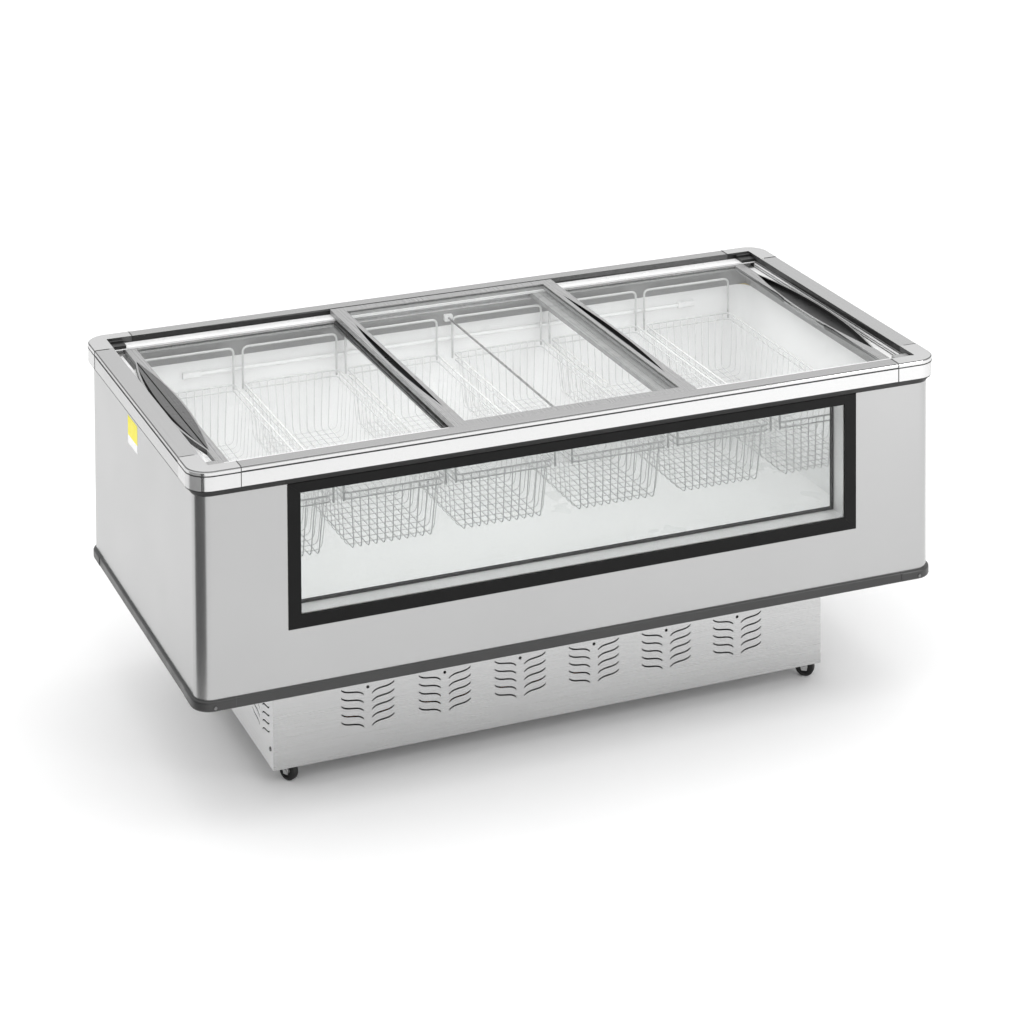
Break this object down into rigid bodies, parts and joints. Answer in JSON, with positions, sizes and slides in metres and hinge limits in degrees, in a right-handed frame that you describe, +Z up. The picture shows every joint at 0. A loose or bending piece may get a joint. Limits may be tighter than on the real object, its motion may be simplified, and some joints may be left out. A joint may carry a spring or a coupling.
{
  "type": "chest freezer",
  "caption": "Glass-topped island chest freezer: sliding lids on two tracks, front viewing window, hanging wire baskets and a vented machine plinth on swivel casters.",
  "frame": {"origin": "centre of the top frame's footprint, on the floor under the wheels", "axes": "+X along the long front, -Y towards the customer at the window, +Z up"},
  "size_m": [2, 1.008, 0.882],
  "materials": {
    "painted_steel": "satin, light silver grey",
    "galvanised": "matte zinc",
    "foam": "matte polyurethane foam",
    "liner_white": "satin white",
    "copper_tube": "bare copper",
    "aluminium": "satin anodised",
    "cap_plastic": "silver painted plastic",
    "gasket_black": "matte black",
    "frame_grey": "satin grey",
    "track_white": "smooth white",
    "stop_black": "matte black",
    "window_black": "matte black",
    "clear_glass": "clear",
    "spacer_light": "satin",
    "bumper_grey": "satin dark grey",
    "stainless": "brushed",
    "screw_zinc": "dark zinc",
    "compressor_black": "gloss black",
    "rubber_black": "matte",
    "condenser_black": "matte black",
    "cord_black": "matte",
    "control_black": "fine grained",
    "control_grey": "smooth",
    "switch_red": "translucent red",
    "lamp_white": "opal",
    "fitting_white": "smooth white",
    "rod_grey": "satin",
    "label": "blank yellow and white sticker",
    "basket_white": "white plastic coating",
    "lid_frame_grey": "satin grey",
    "zinc": "bright zinc",
    "fan_grey": "matte"
  },
  "bodies": {
    "cabinet": {"outer_shell": "painted_steel", "shell_bottom": "galvanised", "insulation": "foam", "inner_liner": "liner_white", "evaporator_coil": "copper_tube", "frame_rails": "aluminium", "frame_corner_caps": "cap_plastic", "fascia_gasket": "gasket_black", "inner_frame": "frame_grey", "track_strips": "track_white", "track_end_stops": "stop_black", "window_frame": "window_black", "window_outer_pane": "clear_glass", "window_spacer": "spacer_light", "window_gasket": "gasket_black", "window_inner_pane": "clear_glass", "bumper_rails": "bumper_grey", "bumper_corner_caps": "bumper_grey", "plinth_front_panel": "stainless", "plinth_rear_panel": "stainless", "plinth_end_panels": "stainless", "plinth_base_plate": "galvanised", "cabinet_screws": "screw_zinc", "compressor": "compressor_black", "compressor_grommets": "rubber_black", "condenser": "condenser_black", "fan_shroud": "galvanised", "fan_motor": "control_black", "refrigerant_pipes": "copper_tube", "power_cord": "cord_black", "thermostat_housing": "control_black", "lamp_tube": "lamp_white", "lamp_holders": "fitting_white", "tie_rod": "rod_grey", "tie_rod_clips": "fitting_white", "energy_label": "label", "caster_plates": "zinc"},
    "lid_left": {"lid_left_frame": "lid_frame_grey", "lid_left_glass": "clear_glass"},
    "lid_middle": {"lid_middle_frame": "lid_frame_grey", "lid_middle_glass": "clear_glass"},
    "lid_right": {"lid_right_frame": "lid_frame_grey", "lid_right_glass": "clear_glass"},
    "basket_1": {"basket_1": "basket_white"},
    "basket_2": {"basket_2": "basket_white"},
    "basket_3": {"basket_3": "basket_white"},
    "basket_4": {"basket_4": "basket_white"},
    "basket_5": {"basket_5": "basket_white"},
    "basket_6": {"basket_6": "basket_white"},
    "fork_front_left": {"caster_fork_front_left": "zinc"},
    "wheel_front_left": {"caster_wheel_front_left": "rubber_black"},
    "fork_front_right": {"caster_fork_front_right": "zinc"},
    "wheel_front_right": {"caster_wheel_front_right": "rubber_black"},
    "fork_rear_left": {"caster_fork_rear_left": "zinc"},
    "wheel_rear_left": {"caster_wheel_rear_left": "rubber_black"},
    "fork_rear_right": {"caster_fork_rear_right": "zinc"},
    "wheel_rear_right": {"caster_wheel_rear_right": "rubber_black"},
    "fan": {"fan_blade": "fan_grey"},
    "knob": {"thermostat_knob": "control_grey"},
    "switch": {"mains_switch": "switch_red"}
  },
  "joints": [
    {"name": "lid_left_slide", "type": "slide", "parent": "cabinet", "child": "lid_left", "axis": [1, 0, 0], "range_m": [0, 0.53]},
    {"name": "lid_middle_slide", "type": "slide", "parent": "cabinet", "child": "lid_middle", "axis": [1, 0, 0], "range_m": [-0.576, 0.576]},
    {"name": "lid_right_slide", "type": "slide", "parent": "cabinet", "child": "lid_right", "axis": [1, 0, 0], "range_m": [-0.53, 0]},
    {"name": "basket_1_lift", "type": "slide", "parent": "cabinet", "child": "basket_1", "axis": [0, 0, 1], "range_m": [0, 0.012]},
    {"name": "basket_2_lift", "type": "slide", "parent": "cabinet", "child": "basket_2", "axis": [0, 0, 1], "range_m": [0, 0.012]},
    {"name": "basket_3_lift", "type": "slide", "parent": "cabinet", "child": "basket_3", "axis": [0, 0, 1], "range_m": [0, 0.012]},
    {"name": "basket_4_lift", "type": "slide", "parent": "cabinet", "child": "basket_4", "axis": [0, 0, 1], "range_m": [0, 0.012]},
    {"name": "basket_5_lift", "type": "slide", "parent": "cabinet", "child": "basket_5", "axis": [0, 0, 1], "range_m": [0, 0.012]},
    {"name": "basket_6_lift", "type": "slide", "parent": "cabinet", "child": "basket_6", "axis": [0, 0, 1], "range_m": [0, 0.012]},
    {"name": "swivel_front_left", "type": "hinge", "parent": "cabinet", "child": "fork_front_left", "pos_m": [-0.71, -0.272, 0.062], "axis": [0, 0, 1], "continuous": true},
    {"name": "roll_front_left", "type": "hinge", "parent": "fork_front_left", "child": "wheel_front_left", "pos_m": [-0.7, -0.28932, 0.025], "axis": [0.866, 0.5, 0], "continuous": true},
    {"name": "swivel_front_right", "type": "hinge", "parent": "cabinet", "child": "fork_front_right", "pos_m": [0.71, -0.272, 0.062], "axis": [0, 0, 1], "continuous": true},
    {"name": "roll_front_right", "type": "hinge", "parent": "fork_front_right", "child": "wheel_front_right", "pos_m": [0.72532, -0.28486, 0.025], "axis": [0.6428, 0.766, 0], "continuous": true},
    {"name": "swivel_rear_left", "type": "hinge", "parent": "cabinet", "child": "fork_rear_left", "pos_m": [-0.71, 0.272, 0.062], "axis": [0, 0, 1], "continuous": true},
    {"name": "roll_rear_left", "type": "hinge", "parent": "fork_rear_left", "child": "wheel_rear_left", "pos_m": [-0.72732, 0.282, 0.025], "axis": [-0.5, -0.866, 0], "continuous": true},
    {"name": "swivel_rear_right", "type": "hinge", "parent": "cabinet", "child": "fork_rear_right", "pos_m": [0.71, 0.272, 0.062], "axis": [0, 0, 1], "continuous": true},
    {"name": "roll_rear_right", "type": "hinge", "parent": "fork_rear_right", "child": "wheel_rear_right", "pos_m": [0.72732, 0.282, 0.025], "axis": [-0.5, 0.866, 0], "continuous": true},
    {"name": "fan_spin", "type": "hinge", "parent": "cabinet", "child": "fan", "pos_m": [-0.481, 0, 0.186], "axis": [1, 0, 0], "continuous": true},
    {"name": "thermostat_turn", "type": "hinge", "parent": "cabinet", "child": "knob", "pos_m": [0.7535, 0.02, 0.175], "axis": [1, 0, 0], "range_deg": [-270, 0]},
    {"name": "mains_switch_rock", "type": "hinge", "parent": "cabinet", "child": "switch", "pos_m": [0.743, 0.1, 0.175], "axis": [0, 1, 0], "range_deg": [-5, 5]}
  ]
}
